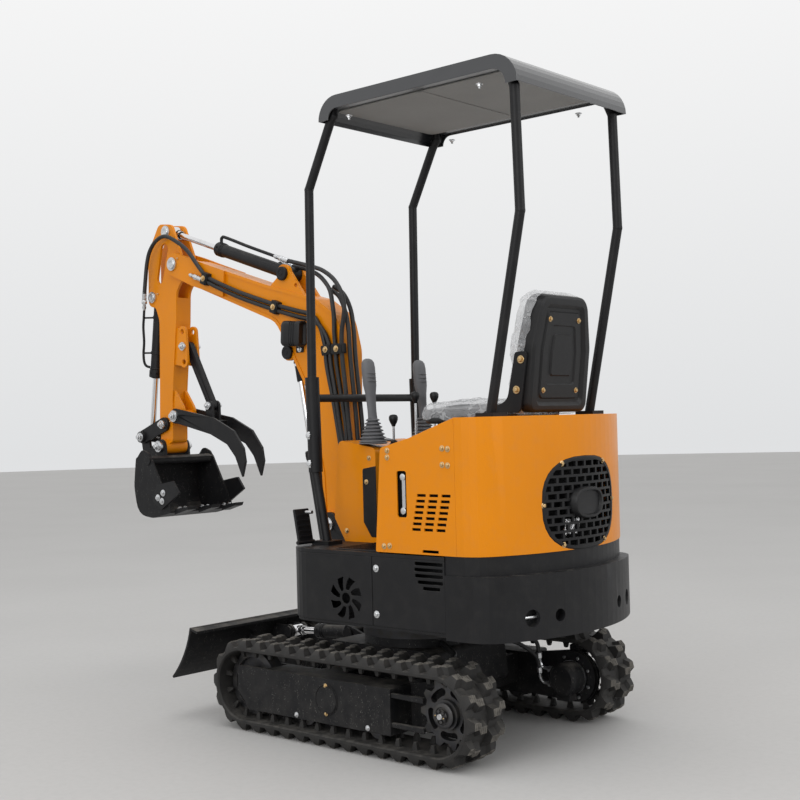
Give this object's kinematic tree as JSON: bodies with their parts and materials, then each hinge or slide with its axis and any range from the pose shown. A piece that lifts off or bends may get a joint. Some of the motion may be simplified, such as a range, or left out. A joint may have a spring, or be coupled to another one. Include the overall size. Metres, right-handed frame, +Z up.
{
  "type": "mini excavator",
  "caption": "Mini excavator on rubber tracks with an open canopy, dozer blade, slewing upper body, boom, arm, bucket and a mechanical thumb.",
  "frame": {"origin": "on the slew axis at the ground", "axes": "+X forward, +Y left, +Z up"},
  "size_m": [2.2799, 0.944, 2.208],
  "materials": {
    "yellow_paint": "orange-yellow gloss powder coat, light dust",
    "black_paint": "satin black powder coat with a fine texture",
    "dark_steel": "dark machined steel, lightly oiled",
    "track_rubber": "matt black moulded rubber with grey dust",
    "zinc_steel": "zinc plated steel",
    "chrome_rod": "polished hard chrome",
    "black_plastic": "matt black moulded plastic",
    "grey_plastic": "matt grey soft grip and rubber bellows",
    "seat_vinyl": "black grained vinyl",
    "engine_iron": "dark cast iron",
    "hose_rubber": "semi-matt black hydraulic hose"
  },
  "bodies": {
    "undercarriage": {"chassis_frame": "black_paint", "slew_bearing": "dark_steel", "track_frame_left": "black_paint", "track_frame_right": "black_paint", "track_left": "track_rubber", "track_right": "track_rubber", "sprockets": "dark_steel", "track_rollers": "dark_steel", "travel_motors": "black_paint"},
    "blade": {"blade": "black_paint"},
    "blade_barrel": {"blade_barrel": "black_paint"},
    "blade_rod": {"blade_rod": "chrome_rod"},
    "upper": {"deck": "black_paint", "skirt": "black_paint", "counterweight": "black_paint", "engine_hood": "yellow_paint", "side_panel_left": "yellow_paint", "side_panel_right": "yellow_paint", "rear_grille": "black_paint", "engine_block": "engine_iron", "boom_bracket": "black_paint", "bracket_pins": "zinc_steel", "control_console": "yellow_paint", "joysticks": "grey_plastic", "control_levers": "black_plastic", "seat_base": "black_paint", "seat_cushion": "seat_vinyl", "seat_back": "seat_vinyl", "seat_brackets": "black_paint", "canopy_frame": "black_paint", "canopy_roof": "black_paint"},
    "boom": {"boom": "yellow_paint", "boom_pins": "zinc_steel", "work_lamp": "black_plastic", "boom_hoses": "hose_rubber"},
    "boom_barrel": {"boom_barrel": "black_paint"},
    "boom_rod": {"boom_rod": "chrome_rod"},
    "arm": {"arm": "yellow_paint", "arm_pins": "zinc_steel", "thumb": "black_paint", "thumb_strut": "black_paint"},
    "arm_barrel": {"arm_barrel": "black_paint"},
    "arm_rod": {"arm_rod": "chrome_rod"},
    "bucket_barrel": {"bucket_barrel": "black_paint"},
    "bucket_rod": {"bucket_rod": "chrome_rod"},
    "rocker": {"rocker": "black_paint"},
    "link": {"bucket_link": "black_paint"},
    "bucket": {"bucket": "black_paint", "bucket_teeth": "black_paint"}
  },
  "joints": [
    {"name": "slew", "type": "hinge", "parent": "undercarriage", "child": "upper", "pos_m": [0, 0, 0.384], "axis": [0, 0, 1], "continuous": true},
    {"name": "boom", "type": "hinge", "parent": "upper", "child": "boom", "pos_m": [0.375, 0, 0.7], "axis": [0, -1, 0], "range_deg": [-58, 6]},
    {"name": "boom_barrel_swing", "type": "hinge", "parent": "upper", "child": "boom_barrel", "pos_m": [0.432, 0, 0.48], "axis": [0, -1, 0], "range_deg": [-48.32, 5.93]},
    {"name": "boom_rod_slide", "type": "slide", "parent": "boom_barrel", "child": "boom_rod", "axis": [0.1866, 0, 0.9824], "range_m": [-0.16445, 0.0202]},
    {"name": "arm", "type": "hinge", "parent": "boom", "child": "arm", "pos_m": [1.275, 0, 1.763], "axis": [0, 1, 0], "range_deg": [-80, 22]},
    {"name": "arm_barrel_swing", "type": "hinge", "parent": "boom", "child": "arm_barrel", "pos_m": [0.618, 0, 1.662], "axis": [0, 1, 0], "range_deg": [-4.1, 1.2]},
    {"name": "arm_rod_slide", "type": "slide", "parent": "arm_barrel", "child": "arm_rod", "axis": [0.9459, 0, 0.3245], "range_m": [-0.19629, 0.05752]},
    {"name": "bucket", "type": "hinge", "parent": "arm", "child": "bucket", "pos_m": [1.373, 0, 0.995], "axis": [0, 1, 0], "range_deg": [-90, 26]},
    {"name": "rocker", "type": "hinge", "parent": "arm", "child": "rocker", "pos_m": [1.366, 0, 1.088], "axis": [0, 1, 0], "range_deg": [-81.53, 25.01]},
    {"name": "link", "type": "hinge", "parent": "rocker", "child": "link", "pos_m": [1.512, 0, 1.036], "axis": [0, 1, 0], "range_deg": [-20.54, 66.95]},
    {"name": "bucket_barrel_swing", "type": "hinge", "parent": "arm", "child": "bucket_barrel", "pos_m": [1.435, 0, 1.636], "axis": [0, 1, 0], "range_deg": [-0.1614, 0.5261]},
    {"name": "bucket_rod_slide", "type": "slide", "parent": "bucket_barrel", "child": "bucket_rod", "axis": [0.1273, 0, -0.9919], "range_m": [-0.19372, 0.05942]},
    {"name": "blade", "type": "hinge", "parent": "undercarriage", "child": "blade", "pos_m": [0.37, 0, 0.175], "axis": [0, -1, 0], "range_deg": [-36, 8]},
    {"name": "blade_barrel_swing", "type": "hinge", "parent": "undercarriage", "child": "blade_barrel", "pos_m": [0.322, 0, 0.292], "axis": [0, -1, 0], "range_deg": [-28.82, 6.94]},
    {"name": "blade_rod_slide", "type": "slide", "parent": "blade_barrel", "child": "blade_rod", "axis": [0.998, 0, -0.0628], "range_m": [-0.0155, 0.06437]}
  ],
  "couplings": [
    {"joint": "boom_barrel_swing", "follows": "boom", "ratio": 0.81517},
    {"joint": "boom_rod_slide", "follows": "boom", "m_per_rad": 0.15894},
    {"joint": "arm_barrel_swing", "follows": "arm", "ratio": 0.05},
    {"joint": "arm_rod_slide", "follows": "arm", "m_per_rad": 0.13709},
    {"joint": "rocker", "follows": "bucket", "ratio": 0.88317},
    {"joint": "link", "follows": "bucket", "ratio": -0.72522},
    {"joint": "bucket_barrel_swing", "follows": "bucket", "ratio": -0.0057},
    {"joint": "bucket_rod_slide", "follows": "bucket", "m_per_rad": 0.12022},
    {"joint": "blade_barrel_swing", "follows": "blade", "ratio": 0.78144},
    {"joint": "blade_rod_slide", "follows": "blade", "m_per_rad": -0.099998}
  ]
}
